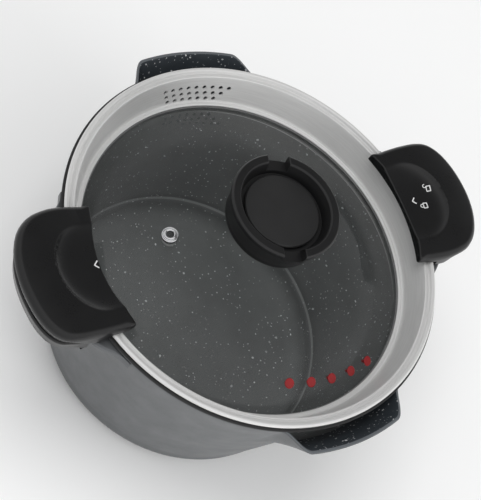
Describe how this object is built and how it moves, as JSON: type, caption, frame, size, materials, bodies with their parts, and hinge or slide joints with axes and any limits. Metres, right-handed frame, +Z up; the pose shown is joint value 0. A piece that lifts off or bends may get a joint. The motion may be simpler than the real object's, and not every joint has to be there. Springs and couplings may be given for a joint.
{
  "type": "straining pot",
  "caption": "Metal stock pot with side handles and pouring spouts and a recessed glass strainer lid with steel band, vent, plugged drain holes, grips and a notched knob.",
  "frame": {"origin": "centre of the underside of the base plate, on the pot's axis", "axes": "+X to one side handle, +Y to the pouring spout below the fine drain holes, +Z up along the pot's axis"},
  "size_m": [0.315, 0.2696, 0.178],
  "materials": {
    "coated_shell": "satin",
    "base_steel": "brushed",
    "band_steel": "satin",
    "stamped_steel": "plain",
    "vent_chrome": "polished",
    "clear_glass": "clear",
    "black_plastic": "satin",
    "dark_silicone": "matte",
    "red_silicone": "matte"
  },
  "bodies": {
    "pot": {"pot_body": "coated_shell", "base_plate": "base_steel", "handle_lug_right": "coated_shell", "handle_lug_left": "coated_shell", "pot_handle_right": "black_plastic", "pot_handle_left": "black_plastic", "pot_handle_screw_right": "stamped_steel", "pot_handle_screw_left": "stamped_steel"},
    "seal": {"lid_seal": "dark_silicone"},
    "lid": {"lid_band": "band_steel", "glass_gasket": "dark_silicone", "lid_glass": "clear_glass", "drain_plug_1": "red_silicone", "drain_plug_2": "red_silicone", "drain_plug_3": "red_silicone", "drain_plug_4": "red_silicone", "drain_plug_5": "red_silicone", "vent_eyelet": "vent_chrome", "vent_grommet": "dark_silicone", "vent_back_ring": "stamped_steel", "knob_body": "black_plastic", "knob_disc": "black_plastic", "knob_stem": "black_plastic", "knob_gasket": "dark_silicone", "knob_washer": "stamped_steel", "knob_screw": "stamped_steel", "lid_grip_right": "black_plastic", "lid_grip_bracket_right": "stamped_steel", "lid_grip_base_right": "black_plastic", "lid_grip_screw_right_1": "stamped_steel", "lid_grip_screw_right_2": "stamped_steel", "lid_grip_left": "black_plastic", "lid_grip_bracket_left": "stamped_steel", "lid_grip_base_left": "black_plastic", "lid_grip_screw_left_1": "stamped_steel", "lid_grip_screw_left_2": "stamped_steel"}
  },
  "joints": [
    {"name": "lid_lift", "type": "slide", "parent": "pot", "child": "seal", "axis": [0, 0, 1], "range_m": [0, 0.08]},
    {"name": "lid_twist", "type": "hinge", "parent": "seal", "child": "lid", "pos_m": [0, 0, 0.138], "axis": [0, 0, 1], "range_deg": [0, 40]}
  ]
}
